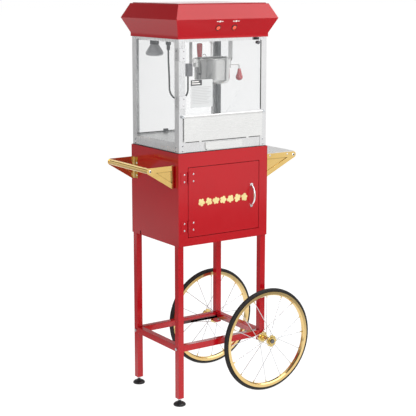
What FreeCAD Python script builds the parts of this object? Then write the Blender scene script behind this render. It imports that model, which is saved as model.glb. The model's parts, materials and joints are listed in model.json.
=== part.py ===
import FreeCAD, Part
import math
import os

# Popcorn cart: a glass-sided popper on a cabinet with two spoked wheels.
# Millimetres, +Z up, +X to the shelf side (the customer's right), -Y to the front.
# Everything is drawn about the middle of the cabinet and moved by frame_shift on export,
# so that the origin lies on the floor under the middle of the whole cart.

Vector = FreeCAD.Vector

# ---- driving dimensions ----
frame_shift = -37.5        # cabinet middle to the middle of the cart's length

leg = 25.0                 # square tube of the legs and rails
tube_wall = 1.5
leg_x = 200.0              # leg centres
leg_y = 157.5
left_leg_foot = 29.0       # lower end of the legs that stand on feet
right_leg_foot = 202.0     # lower end of the legs that carry the wheels
leg_top = 735.0
rail_low = 222.0           # lower rails

wheel_radius = 215.0
wheel_plane = 205.0        # distance of each wheel's middle plane from the cart's middle
tyre_section = 9.0
rim_depth_in = 186.0
spoke_count = 16
spoke_radius = 1.4
flange_offset = 30.0
flange_radius = 24.5
axle_radius = 6.0
running_gap = 0.05         # radial clearance of a shaft in its bore

cabinet_x = 214.0          # half length
cabinet_y = 176.5          # half depth
cabinet_low = 651.0
cabinet_top = 1018.0
sheet = 1.5

door_x = (-168.0, 172.0)
door_z = (685.0, 960.0)
door_gap = 2.0
door_pan = 14.5
hinge_x = -169.0           # cabinet door hinge pin
hinge_stand_off = 3.8      # pin centre in front of the cabinet face
hinge_heights = (728.0, 921.0)
hinge_length = 46.0
knuckle = 3.5
hinge_pin = 1.6

case_x = 208.5             # popper case half length
case_y = 172.5
case_top = 1456.0
post_leg = 30.0
post_sheet = 2.0
base_top = 1058.0
top_rail_low = 1444.0
pane = 2.5

glass_door_z = (1168.0, 1444.0)
glass_door_x = (-207.5, 180.0)
glass_face = -case_y - 3.5          # outer face of the front glass
glass_knob_x = 156.0
glass_knob_z = 1435.0
glass_hinge = (-212.0, -177.5)
glass_hinge_heights = (1216.5, 1398.0)
panel_pivot = (-177.3, 1160.0)      # serving panel: y and z of its rolled top edge
panel_x = (-188.0, 186.0)
panel_low = 1062.0

drawer_x = 83.5
drawer_z = (1025.0, 1053.0)
drawer_back = 110.0
drawer_front_x = (-86.0, 89.0)
drawer_front_z = (1024.0, 1054.0)

kettle_x = 42.0            # kettle axis
kettle_y = -30.0
kettle_low = 1269.0
kettle_rim = 1369.0
kettle_radius = 75.0
kettle_pivot = 1367.0
shaft_radius = 5.0

canopy_band = (213.5, 175.5, 1456.0, 1471.0)
canopy_ridge = (240.0, 207.5, 1530.0)
canopy_top = (213.0, 178.0, 1586.0)
cover_top = 1590.0
switch_x = 38.0
switch_z = 1496.5
gland_z = 1464.0

bracket_plane = 151.0      # middle of the pressed brackets' border
left_tip = (-327.0, 957.0)
right_tip = (368.0, 966.0)
tip_radius = 13.0
bar_radius = 11.0

lead_radius = 3.5


# ---- general helpers ----
def block(x, y, z):
    """Box between three (low, high) pairs."""
    return Part.makeBox(x[1] - x[0], y[1] - y[0], z[1] - z[0], Vector(x[0], y[0], z[0]))


def rod(start, end, radius):
    """Round bar from start to end."""
    line = Vector(*end) - Vector(*start)
    return Part.makeCylinder(radius, line.Length, Vector(*start), line)


def join(*solids):
    """One solid from touching or overlapping solids."""
    shape = solids[0].multiFuse(list(solids[1:]))
    return shape.removeSplitter()


def mirror_x(shape):
    return shape.mirror(Vector(0, 0, 0), Vector(1, 0, 0))


def mirror_y(shape):
    return shape.mirror(Vector(0, 0, 0), Vector(0, 1, 0))


def aim(shape, centre, axis):
    """Turn a shape made along +Z so that it lies along axis, at centre."""
    turn = FreeCAD.Rotation(Vector(0, 0, 1), Vector(*axis))
    placed = shape.copy()
    placed.Placement = FreeCAD.Placement(Vector(*centre), turn).multiply(placed.Placement)
    return placed


def turned(profile, centre, axis=(0, 0, 1)):
    """Revolve a (radius, along) outline; a step of two pairs is an arc through the first."""
    edges = []
    here = Vector(profile[0][0], 0, profile[0][1])
    start = here
    for step in profile[1:]:
        if isinstance(step[0], tuple):
            middle = Vector(step[0][0], 0, step[0][1])
            there = Vector(step[1][0], 0, step[1][1])
            edges.append(Part.Arc(here, middle, there).toShape())
        else:
            there = Vector(step[0], 0, step[1])
            edges.append(Part.LineSegment(here, there).toShape())
        here = there
    edges.append(Part.LineSegment(here, start).toShape())
    face = Part.Face(Part.Wire(edges))
    solid = face.revolve(Vector(0, 0, 0), Vector(0, 0, 1), 360)
    if solid.Volume < 0:
        solid.reverse()
    return aim(solid, centre, axis)


def hexagon(centre, axis, across, height, bore=0.0):
    """Hexagonal head or nut standing on centre."""
    corner = across / math.sqrt(3)
    points = [Vector(corner * math.cos(math.radians(60 * k)), corner * math.sin(math.radians(60 * k)), 0)
              for k in range(7)]
    solid = Part.Face(Part.makePolygon(points)).extrude(Vector(0, 0, height))
    if bore > 0:
        solid = solid.cut(Part.makeCylinder(bore, height))
    return aim(solid, centre, axis)


def dome_screw(centre, axis, head, rise, shank=1.5, depth=0.0):
    """Domed head standing on centre, with a shank going in against the axis."""
    foot = [(0, -depth), (shank, -depth), (shank, 0)] if depth > 0 else [(0, 0)]
    profile = foot + [(head, 0), (head, rise * 0.35), ((head * 0.75, rise * 0.8), (head * 0.3, rise)), (0, rise)]
    return turned(profile, centre, axis)


def drill(shape, centre, axis, depth, shank=1.5):
    """Clearance hole for a dome_screw."""
    back = Vector(*centre) - Vector(*axis).multiply(depth + 0.5)
    front = Vector(*centre) + Vector(*axis)
    line = front - back
    return shape.cut(Part.makeCylinder(shank + 0.1, line.Length, back, line))


def box_tube(x, y, z, along, wall=tube_wall):
    """Square tube with open ends along one axis."""
    spans = {"x": x, "y": y, "z": z}
    inner = {name: (span if name == along else (span[0] + wall, span[1] - wall)) for name, span in spans.items()}
    return block(x, y, z).cut(block(inner["x"], inner["y"], inner["z"]))


def loft(rings):
    """Straight-sided solid through a list of closed point rings."""
    wires = [Part.makePolygon(ring + ring[:1]) for ring in rings]
    return Part.makeLoft(wires, True, True)


def rectangle_ring(half_x, half_y, z):
    return [Vector(-half_x, -half_y, z), Vector(half_x, -half_y, z), Vector(half_x, half_y, z),
            Vector(-half_x, half_y, z)]


def save(name, *solids):
    """Write one named piece, or one group of separate identical pieces."""
    shape = Part.makeCompound([solid.copy() for solid in solids]) if len(solids) > 1 else solids[0].copy()
    shape.translate(Vector(frame_shift, 0, 0))
    for solid in shape.Solids:
        if not solid.isValid() or solid.Volume <= 0:
            print("check", name, solid.isValid(), solid.Volume)
    if len(shape.Solids) < len(solids):
        print("check", name, "solids", len(shape.Solids), "of", len(solids))
    shape.exportStep("parts/" + name + ".step")


# ---- stand: legs, rails, feet, axles, wheels ----
def leg_span(centre):
    return (centre - leg / 2, centre + leg / 2)


def make_stand():
    legs = []
    for side in (-1, 1):
        for end in (-1, 1):
            foot = left_leg_foot if side < 0 else right_leg_foot
            tube = box_tube(leg_span(side * leg_x), leg_span(end * leg_y), (foot, leg_top), "z")
            if side > 0:
                axle_hole = rod((leg_x, end * 140, wheel_radius), (leg_x, end * 180, wheel_radius), axle_radius)
                tube = tube.cut(axle_hole)
            legs.append(tube)
    rails_z = (rail_low, rail_low + leg)
    inner_x = leg_x - leg / 2
    inner_y = leg_y - leg / 2
    rails = [box_tube((-inner_x, inner_x), leg_span(end * leg_y), rails_z, "x") for end in (-1, 1)]
    rails += [box_tube(leg_span(side * leg_x), (-inner_y, inner_y), rails_z, "y") for side in (-1, 1)]
    bolts = []
    for side in (-1, 1):
        for end in (-1, 1):
            face = side * (leg_x + leg / 2)
            place = (face, end * (leg_y - 1.5), 233)
            bolts.append(hexagon(place, (side, 0, 0), 11, 4))
    return legs, rails, bolts


def make_leg_plug(end):
    """Threaded plug in the tube's end, and the lock nut under it."""
    inner = leg / 2 - tube_wall
    x = -leg_x
    y = end * leg_y
    plug = block((x - inner, x + inner), (y - inner, y + inner), (left_leg_foot, left_leg_foot + 22))
    plug = plug.cut(Part.makeCylinder(5 + running_gap, 40, Vector(x, y, left_leg_foot - 5)))
    nut = hexagon((x, y, left_leg_foot - 5.2), (0, 0, 1), 17, 5.2, 5 + running_gap)
    return plug, nut


def make_foot(end):
    """Rubber-soled pad on a stud, screwed up into the leg plug."""
    profile = [(0, 0), (24, 0), (25, 2), (25, 5), ((20, 10.5), (9, 13)), (8, 17), (5, 17), (5, 72), (0, 72)]
    return turned(profile, (-leg_x, end * leg_y, 0))


def make_axle(end):
    """Stub axle through the leg, its spacer washer and its outer nut."""
    inside = end * (leg_y - leg / 2)
    tip = end * 245.0
    shaft = rod((leg_x, inside, wheel_radius), (leg_x, tip, wheel_radius), axle_radius)
    washer = rod((leg_x, end * (leg_y + leg / 2), wheel_radius), (leg_x, end * 171.2, wheel_radius), 11)
    nut = hexagon((leg_x, end * 241.2, wheel_radius), (0, end, 0), 17, 3.8)
    return join(shaft, washer, nut)


def make_tyre():
    return Part.makeTorus(wheel_radius - tyre_section, tyre_section)


def make_rim():
    """Rolled channel with a groove that the tyre sits in."""
    profile = [(rim_depth_in, -5), (rim_depth_in + 4, -10), (201.5, -10), (201.5, 10), (rim_depth_in + 4, 10),
               (rim_depth_in, 5)]
    groove = Part.makeTorus(wheel_radius - tyre_section, tyre_section + 0.15)
    return turned(profile, (0, 0, 0)).cut(groove)


def make_hub():
    """Barrel, two scalloped spoke flanges and the outer cup."""
    inner = flange_offset + 3.5
    outer = flange_offset + 5.5
    low = flange_offset - 1.5
    high = flange_offset + 1.5
    bore = axle_radius + running_gap
    profile = [(bore, -inner), (12, -inner), (12, -high), (flange_radius, -high), (flange_radius, -low),
               (11, -low), (9, -low + 5), (9, low - 5), (11, low), (flange_radius, low),
               (flange_radius, high), (14.5, high), (14.5, outer), (bore, outer)]
    hub = turned(profile, (0, 0, 0))
    bites = []
    for k in range(spoke_count // 2):
        turn = math.radians(360 / (spoke_count // 2) * (k + 0.5))
        spot = Vector((flange_radius + 3) * math.cos(turn), (flange_radius + 3) * math.sin(turn), -outer)
        bites.append(Part.makeCylinder(6, 2 * outer, spot))
    return hub.cut(Part.makeCompound(bites))


def make_spokes(hub, rim):
    """Crossed spokes: every other pair leans forwards, the rest lean back."""
    spokes = []
    for k in range(spoke_count):
        side = 1 if k % 2 else -1
        at_rim = math.radians(360 / spoke_count * k)
        forward = (k // 2) % 2 == 1
        at_hub = at_rim + math.radians(62 if forward else -62)
        face = flange_offset + (2.4 if forward else -2.4)
        start = (20 * math.cos(at_hub), 20 * math.sin(at_hub), side * face)
        end = (188 * math.cos(at_rim), 188 * math.sin(at_rim), side * 2.5)
        spokes.append(rod(start, end, spoke_radius).cut(hub).cut(rim))
    return spokes


def make_wheel(end, name):
    """The wheel is drawn flat; its outer side is +Z, then it is stood up facing outwards."""
    hub = make_hub()
    rim = make_rim()
    centre = (leg_x, end * wheel_plane, wheel_radius)
    axis = (0, end, 0)
    save(name + "_tyre", aim(make_tyre(), centre, axis))
    save(name + "_rim", aim(rim, centre, axis))
    save(name + "_hub", aim(hub, centre, axis))
    save(name + "_spokes", *[aim(spoke, centre, axis) for spoke in make_spokes(hub, rim)])


# ---- cabinet ----
def make_cabinet_panels():
    inner_x = cabinet_x - sheet
    inner_y = cabinet_y - sheet
    tall = (cabinet_low, cabinet_top)
    left = block((-cabinet_x, -inner_x), (-cabinet_y, cabinet_y), tall)
    left = left.cut(block((-cabinet_x - 1, -inner_x + 1), (107, 115), (cabinet_low - 1, cabinet_low + 16)))
    right = block((inner_x, cabinet_x), (-cabinet_y, cabinet_y), tall)
    rear = block((-inner_x, inner_x), (inner_y, cabinet_y), tall)
    top = block((-inner_x, inner_x), (-cabinet_y, inner_y), (cabinet_top - sheet, cabinet_top))
    floor = block((-inner_x, inner_x), (-cabinet_y, inner_y), (cabinet_low, cabinet_low + sheet))
    for side in (-1, 1):
        for end in (-1, 1):
            corner = block(leg_span(side * leg_x), leg_span(end * leg_y), (cabinet_low - 1, cabinet_low + 3))
            floor = floor.cut(corner)
    return left, right, rear, top, floor


def make_front_frame():
    """Face frame as four strips round the door opening."""
    inner_x = cabinet_x - sheet
    y = (-cabinet_y, -cabinet_y + sheet)
    low = cabinet_low + sheet
    high = cabinet_top - sheet
    opening_x = (door_x[0] - door_gap, door_x[1] + door_gap)
    opening_z = (door_z[0] - door_gap, door_z[1] + door_gap)
    left = block((-inner_x, opening_x[0]), y, (low, high))
    right = block((opening_x[1], inner_x), y, (low, high))
    bottom = block(opening_x, y, (low, opening_z[0]))
    top = block(opening_x, y, (opening_z[1], high))
    return join(left, right, bottom, top)


def make_cabinet_door():
    """Folded pan, open at the back."""
    face = -cabinet_y
    pan = block(door_x, (face, face + door_pan), door_z)
    hollow = block((door_x[0] + sheet, door_x[1] - sheet), (face + sheet, face + door_pan + 1),
                   (door_z[0] + sheet, door_z[1] - sheet))
    return pan.cut(hollow)


def make_butt_hinge(middle):
    """Butt hinge: fixed leaf with pin, and moving leaf. Returns (fixed, moving)."""
    face = -cabinet_y
    axis_y = face - hinge_stand_off
    low = middle - hinge_length / 2
    third = hinge_length / 3
    leaf_y = (face - 1.5, face)
    reach = 34.0
    clear = 4.2
    gap = 0.3

    def barrel(z_low, z_high, bore):
        ring = Part.makeCylinder(knuckle, z_high - z_low, Vector(hinge_x, axis_y, z_low))
        hole = Part.makeCylinder(bore, z_high - z_low, Vector(hinge_x, axis_y, z_low))
        return ring.cut(hole) if bore > 0 else ring

    high = low + hinge_length
    split = (low + third, high - third)
    fixed = [block((hinge_x - reach, hinge_x - clear), leaf_y, (low, high))]
    for z_low, z_high in ((low, split[0]), (split[1], high)):
        fixed.append(block((hinge_x - clear, hinge_x), leaf_y, (z_low, z_high)))
        fixed.append(barrel(z_low, z_high, 0))
    fixed.append(Part.makeCylinder(hinge_pin, hinge_length, Vector(hinge_x, axis_y, low)))
    moving = [block((hinge_x + clear, hinge_x + reach), leaf_y, (low, high)),
              block((hinge_x, hinge_x + clear), leaf_y, (split[0] + gap, split[1] - gap)),
              barrel(split[0] + gap, split[1] - gap, 0)]
    moving_leaf = join(*moving)
    bore = Part.makeCylinder(hinge_pin + running_gap, hinge_length, Vector(hinge_x, axis_y, low))
    return join(*fixed), moving_leaf.cut(bore)


def make_pull():
    """Bow pull: a round rod bent to an arc, with a rose at each foot."""
    x = 134.0
    low = 782.0
    high = 866.0
    face = -cabinet_y
    middle = (low + high) / 2
    bow = 25.0
    start = Vector(x, face, low)
    arc = Part.Arc(start, Vector(x, face - bow, middle), Vector(x, face, high))
    path = Part.Wire([arc.toShape()])
    tangent = Vector(*arc.tangent(arc.FirstParameter)[0])
    ring = Part.Wire([Part.Circle(start, tangent, 4.0).toShape()])
    bar = path.makePipeShell([ring], True, False)
    roses = [rod((x, face, z), (x, face - 4, z), 7.0) for z in (low, high)]
    pull = join(bar, *roses)
    return pull.cut(block((x - 20, x + 20), (face, face + 20), (low - 20, high + 20)))


# ---- tow handle and shelf ----
def make_bracket(tip, inner_tip, root_x, root_z, top_z):
    """Pressed bracket in its front position: bordered web, rounded eye and flange on the cabinet."""
    out = -1 if tip[0] < 0 else 1
    bend = 8.0
    gauge = 2.0
    front = -bracket_plane - gauge / 2
    back = front + gauge

    def at(x, z):
        return Vector(x, front, z)

    def on_eye(turn):
        return at(tip[0] + tip_radius * math.cos(turn), tip[1] + tip_radius * math.sin(turn))

    along = at(root_x, root_z) - at(*tip)
    touch_turn = math.atan2(along.z, along.x) + out * (math.pi / 2 - math.asin(tip_radius / along.Length))
    if out < 0:
        touch_turn += 2 * math.pi
    nose_turn = (math.pi / 2 + touch_turn) / 2
    edges = [Part.Arc(on_eye(math.pi / 2), on_eye(nose_turn), on_eye(touch_turn)).toShape(),
             Part.LineSegment(on_eye(touch_turn), at(root_x, root_z)).toShape(),
             Part.LineSegment(at(root_x, root_z), at(root_x, top_z)).toShape(),
             Part.LineSegment(at(root_x, top_z), on_eye(math.pi / 2)).toShape()]
    web = Part.Face(Part.Wire(edges)).extrude(Vector(0, gauge, 0))
    inner = [(root_x + out * 5, root_z + 25), (root_x + out * 5, top_z - 21), inner_tip]
    middle_x = sum(corner[0] for corner in inner) / 3
    middle_z = sum(corner[1] for corner in inner) / 3

    def ring(scale, y):
        return [Vector(middle_x + (x - middle_x) * scale, y, middle_z + (z - middle_z) * scale) for x, z in inner]

    boss = loft([ring(1.10, back), ring(1.03, back + 3)])
    recess = loft([ring(1.06, front), ring(0.97, front + 3)])
    plate = web.fuse(boss).cut(recess).removeSplitter()
    height = top_z - root_z - 6
    centre = Vector(root_x, back + bend, root_z + 4)
    shell = Part.makeCylinder(bend + gauge, height, centre).cut(Part.makeCylinder(bend, height, centre))
    quarter_x = sorted((root_x, root_x - out * (bend + 3)))
    corner = shell.common(block(quarter_x, (front - 1, back + bend), (root_z, top_z)))
    face = root_x - out * (bend + gauge)
    flange = block(sorted((face, face + out * gauge)), (back + bend, back + bend + 16),
                   (root_z + 4, root_z + 4 + height))
    return join(plate, corner, flange)


def make_side_fittings():
    """Four brackets, the two cross bars, the shelf tray and their screws."""
    left = make_bracket(left_tip, (-298.0, 949.0), -224.0, 878.0, 971.0)
    right = make_bracket(right_tip, (335.0, 956.0), 224.0, 882.0, 979.0)
    front = -bracket_plane - 1
    back = -bracket_plane + 1
    screws = []
    for tip in (left_tip, right_tip):
        spot = (tip[0], front, tip[1])
        screws.append(dome_screw(spot, (0, -1, 0), 5.5, 2.2, 3.0, 8))
    left = drill(left, (left_tip[0], front, left_tip[1]), (0, -1, 0), 4, 3.0)
    right = drill(right, (right_tip[0], front, right_tip[1]), (0, -1, 0), 4, 3.0)
    bars = []
    for tip in (left_tip, right_tip):
        bar = rod((tip[0], back, tip[1]), (tip[0], -back, tip[1]), bar_radius)
        for end in (-1, 1):
            bar = drill(bar, (tip[0], end * -back, tip[1]), (0, end, 0), 9, 3.0)
        bars.append(bar)
    for out, low in ((-1, 895.0), (1, 899.0)):
        for z in (low, low + 50):
            spot = (out * 216.0, -133.5, z)
            screws.append(dome_screw(spot, (out, 0, 0), 5.0, 3.0))
    tray_low = 979.2
    tray = block((cabinet_x, 374), (-149.9, 149.9), (tray_low, tray_low + 1.8))
    for end in (-1, 1):
        lip = sorted((end * 149.9, end * 148.4))
        tray = tray.fuse(block((232, 350), lip, (tray_low - 14, tray_low)))
    for x in (247.0, 336.0):
        spot = (x, front, 971.0)
        screws.append(dome_screw(spot, (0, -1, 0), 3.6, 2.0, 1.5, 3.5))
        right = drill(right, spot, (0, -1, 0), 4)
        tray = drill(tray, spot, (0, -1, 0), 5)
        tray = drill(tray, (x, -front, 971.0), (0, 1, 0), 5)
    brackets = [left, right, mirror_y(left), mirror_y(right)]
    return brackets, bars, tray.removeSplitter(), screws + [mirror_y(screw) for screw in screws]


# ---- popper case ----
def make_base_rails():
    """Four walls of the base tray, its bottom pan and the two drawer runners."""
    outer_x = case_x - post_sheet
    outer_y = case_y - post_sheet
    tall = (cabinet_top, base_top)
    front = block((-outer_x, outer_x), (-outer_y, -outer_y + post_sheet), tall)
    opening = (drawer_z[0] - 1, drawer_z[1] + 1)
    front = front.cut(block((-drawer_x - 1, drawer_x + 1), (-outer_y - 1, -outer_y + 3), opening))
    rear = block((-outer_x, outer_x), (outer_y - post_sheet, outer_y), tall)
    inner_y = outer_y - post_sheet
    left = block((-outer_x, -outer_x + post_sheet), (-inner_y, inner_y), tall)
    right = mirror_x(left)
    inner_x = outer_x - post_sheet
    pan = block((-inner_x, inner_x), (-inner_y, inner_y), (cabinet_top, cabinet_top + sheet))
    runner_wall = block((-drawer_x - 2.5, -drawer_x - 1), (-inner_y, drawer_back + 4),
                        (cabinet_top + sheet, base_top - sheet))
    runner_ledge = block((-drawer_x - 1, -drawer_x + 9), (-inner_y, drawer_back + 4),
                         (drawer_z[0] - 1.8, drawer_z[0] - 0.3))
    runner = join(runner_wall, runner_ledge)
    return front, rear, left, right, pan, runner, mirror_x(runner)


def make_deck():
    """Deck plate with crumb slots over the drawer."""
    half_x = case_x - 2 * post_sheet
    half_y = case_y - 2 * post_sheet
    deck = block((-half_x, half_x), (-half_y, half_y), (base_top - sheet, base_top))
    slots = []
    for column in range(7):
        for row in range(5):
            x = -66 + 22 * column
            y = -120 + 45 * row
            slots.append(block((x - 3, x + 3), (y - 14, y + 14), (base_top - 3, base_top + 1)))
    return deck.cut(Part.makeCompound(slots))


def make_deck_heaters():
    """Two silicone heating mats under the deck, left and right of the drawer."""
    mat = block((100, 190), (-120, 120), (base_top - sheet - 4, base_top - sheet))
    return mirror_x(mat), mat


def make_drawer():
    """Crumb drawer: open tray with an overlapping front plate."""
    wall = 1.2
    case_face = -case_y + post_sheet
    tray = block((-drawer_x, drawer_x), (case_face, drawer_back), drawer_z)
    hollow = block((-drawer_x + wall, drawer_x - wall), (case_face + wall, drawer_back - wall),
                   (drawer_z[0] + wall, drawer_z[1] + 1))
    left, low = drawer_front_x[0], drawer_front_z[0]
    plate = block(drawer_front_x, (-case_y - 3, case_face), drawer_front_z)
    notch = block((left, left + 6), (-case_y - 4, case_face + 1), (low, low + 4))
    return join(tray.cut(hollow), plate.cut(notch))


def make_posts():
    """Angle posts at the four corners."""
    tall = (cabinet_top, case_top)
    post = block((-case_x, -case_x + post_leg), (-case_y, -case_y + post_sheet), tall)
    post = post.fuse(block((-case_x, -case_x + post_sheet), (-case_y, -case_y + post_leg), tall))
    post = post.removeSplitter()
    return [post, mirror_x(post), mirror_y(post), mirror_x(mirror_y(post))]


def make_top_rails():
    outer_x = case_x - post_sheet
    outer_y = case_y - post_sheet
    tall = (top_rail_low, case_top)
    front = block((-outer_x, outer_x), (-outer_y, -outer_y + 8), tall)
    side = block((-outer_x, -outer_x + 8), (-outer_y + 8, outer_y - 8), tall)
    return [front, mirror_y(front), side, mirror_x(side)]


def make_panes():
    outer_x = case_x - post_sheet
    outer_y = case_y - post_sheet
    tall = (base_top, top_rail_low)
    side = block((-outer_x, -outer_x + pane), (-outer_y, outer_y - pane), tall)
    rear = block((-outer_x, outer_x), (outer_y - pane, outer_y), tall)
    return [side, mirror_x(side), rear]


def screw_spots():
    """Places and axes of the screws through the feet and heads of the corner posts."""
    spots = []
    for side in (-1, 1):
        for end in (-1, 1):
            for z in (1027.0, 1047.0):
                spots.append(((side * 192.0, end * case_y, z), (0, end, 0)))
            for z in (1025.0, 1040.0):
                spots.append(((side * case_x, end * 152.0, z), (side, 0, 0)))
            spots.append(((side * 192.0, end * case_y, 1450.0), (0, end, 0)))
            spots.append(((side * case_x, end * 152.0, 1450.0), (side, 0, 0)))
    return spots


def drill_spots(shapes):
    """Clearance holes for the case screws, wherever one meets a shape."""
    drilled = []
    for shape in shapes:
        for spot, axis in screw_spots():
            back = Vector(*spot) - Vector(*axis).multiply(6)
            reach = Part.LineSegment(Vector(*spot), back).toShape()
            if shape.distToShape(reach)[0] < 0.1:
                shape = drill(shape, spot, axis, 5)
        drilled.append(shape)
    return drilled


def make_case_screws():
    screws = [dome_screw(spot, axis, 3.4, 1.8, 1.5, 4) for spot, axis in screw_spots()]
    y, z = panel_pivot
    for face, out in ((panel_x[0], -1), (panel_x[1], 1)):
        near = face + out * 1.0
        far = face + out * 9.0
        lug = block(sorted((near, far)), (y - 4, -case_y), (z - 5, z + 5))
        pin = rod((face - out * 8, y, z), (far, y, z), 2.0)
        cap = rod((far, y, z), (far + out * 2, y, z), 4.0)
        screws.append(join(lug, pin, cap))
    return screws


def make_glass_hinge(middle):
    """Chrome hinge round the case's front left corner. Returns (fixed, moving)."""
    length = 48.0
    pin_x, pin_y = glass_hinge
    radius = 3.3
    low = middle - length / 2
    high = middle + length / 2
    split = (low + length / 3, high - length / 3)
    gap = 0.3
    post_face = -case_x

    def barrel(z_low, z_high):
        return Part.makeCylinder(radius, z_high - z_low, Vector(pin_x, pin_y, z_low))

    leaf_x = (post_face - 1.5, post_face)
    fixed = [block(leaf_x, (pin_y + 5, -150), (low, high)),
             Part.makeCylinder(1.4, length, Vector(pin_x, pin_y, low))]
    for z_low, z_high in ((low, split[0]), (split[1], high)):
        fixed.append(block(leaf_x, (pin_y + 0.5, pin_y + 5), (z_low, z_high)))
        fixed.append(barrel(z_low, z_high))
    leaf_y = (glass_face - 1.5, glass_face)
    inner = (split[0] + gap, split[1] - gap)
    moving = join(block((pin_x + 4.5, -178), leaf_y, (low, high)),
                  block((pin_x + 2, pin_x + 4.5), leaf_y, inner),
                  barrel(*inner))
    moving = moving.cut(Part.makeCylinder(1.4 + running_gap, length, Vector(pin_x, pin_y, low)))
    fixed_part = join(*fixed)
    for z in (middle - 13, middle + 13):
        fixed_part = join(fixed_part, dome_screw((post_face - 1.5, -158, z), (-1, 0, 0), 3.2, 1.6))
        moving = join(moving, dome_screw((-190, glass_face - 1.5, z), (0, -1, 0), 3.2, 1.6))
    return fixed_part, moving


def make_glass_door():
    """Single clear sheet covering the front above the serving panel."""
    return block(glass_door_x, (glass_face, glass_face + 3), glass_door_z)


def make_glass_knob():
    profile = [(0, 0), (6, 0), (4, 4), (4, 7), ((7.5, 11), (6, 15)), (0, 15.5)]
    return turned(profile, (glass_knob_x, glass_face, glass_knob_z), (0, -1, 0))


def make_serving_panel():
    """Drop panel: flat sheet with a rolled top edge on two pivot pins and two finger tabs."""
    y, z = panel_pivot
    face = (y - sheet / 2, y + sheet / 2)
    skin = block(panel_x, face, (panel_low, z - 2))
    roll = rod((panel_x[0], y, z), (panel_x[1], y, z), 4.5)
    tabs = [block((x - 6, x + 6), face, (panel_low - 5, panel_low)) for x in (-113, 113)]
    panel = join(skin, roll, *tabs)
    return panel.cut(rod((panel_x[0] - 1, y, z), (panel_x[1] + 1, y, z), 2.0 + running_gap))


def make_catches():
    """Cabinet magnet bracket, glass door catch, and the clip on the rear rail."""
    back = -cabinet_y + sheet
    plate = block((140, 165), (back, back + 2), (964, 982))
    arm = block((140, 165), (back, -150), (964, 967))
    magnet = block((142, 163), (-161.7, -150), (945, 964))
    x = glass_knob_x
    glass_catch = join(block((x - 11, x + 11), (-case_y - 5, -case_y), (1445.5, 1455)),
                       block((x - 6, x + 6), (-case_y - 8, -case_y - 5), (1447, 1454)))
    clip = block((-66, -46), (160, case_y - post_sheet - pane), (base_top, base_top + 13))
    return join(plate, arm, magnet), glass_catch, clip


# ---- kettle and drive ----
def make_pot():
    """Straight-sided pot with a thick cast base and a rolled rim, and the bridge across its mouth."""
    x, y = kettle_x, kettle_y
    low = kettle_low
    rim = kettle_rim
    r = kettle_radius
    profile = [(0, low), (r - 22, low), ((r - 8.5, low + 5.5), (r - 3.5, low + 19)), (r - 1.5, rim - 4),
               ((r + 0.5, rim - 2), (r - 1.5, rim)), (r - 3.5, rim), (r - 5.5, low + 22),
               ((r - 9.5, low + 18.5), (r - 15, low + 17)), (0, low + 17)]
    pot = turned(profile, (x, y, 0))
    pot = pot.cut(Part.makeCylinder(shaft_radius + running_gap, 8, Vector(x, y, low + 10)))
    bridge = block((x - r + 1, x + r - 1), (y - 9, y + 9), (rim, rim + 2.5))
    for side in (-1, 1):
        lug_x = sorted((x + side * 58, x + side * 62))
        for end in (-1, 1):
            lug_y = sorted((y + end * 9, y + end * 14.4))
            bridge = bridge.fuse(block(lug_x, lug_y, (rim, rim + 5.6)))
    for end in (-1, 1):
        bridge = bridge.fuse(rod((x - 62, y + end * 12, rim + 3.2), (x + 62, y + end * 12, rim + 3.2), 1.0))
    bridge = bridge.removeSplitter()
    bridge = bridge.cut(Part.makeCylinder(shaft_radius + running_gap, 10, Vector(x, y, rim - 2)))
    return pot, bridge


def make_lid(end):
    """Half lid with a rolled hinge edge turning on its own pin of the bridge."""
    x, y = kettle_x, kettle_y
    rim = kettle_rim
    pin_y = y + end * 12
    disc = Part.makeCylinder(kettle_radius - 2, 1.2, Vector(x, y, rim + 0.3))
    half = disc.common(block((x - 80, x + 80), sorted((pin_y, pin_y + end * 80)), (rim, rim + 2)))
    for side in (-1, 1):
        half = half.cut(block(sorted((x + side * 57.4, x + side * 80)), sorted((pin_y - end, y + end * 15.5)),
                              (rim, rim + 2)))
    roll = rod((x - 57.4, pin_y, rim + 3.2), (x + 57.4, pin_y, rim + 3.2), 2.4)
    bore = rod((x - 63, pin_y, rim + 3.2), (x + 63, pin_y, rim + 3.2), 1.0 + running_gap)
    return join(half, roll).cut(bore)


def make_lid_handle():
    """Tapered grip standing on the rear lid."""
    foot = (kettle_x - 41, kettle_y + 27, kettle_rim + 1.5)
    profile = [(0, 0), (9, 0), (9.5, 8), (11.5, 36), (11.5, 52), ((9.8, 56.2), (5.5, 58)), (0, 58)]
    return turned(profile, foot)


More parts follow.
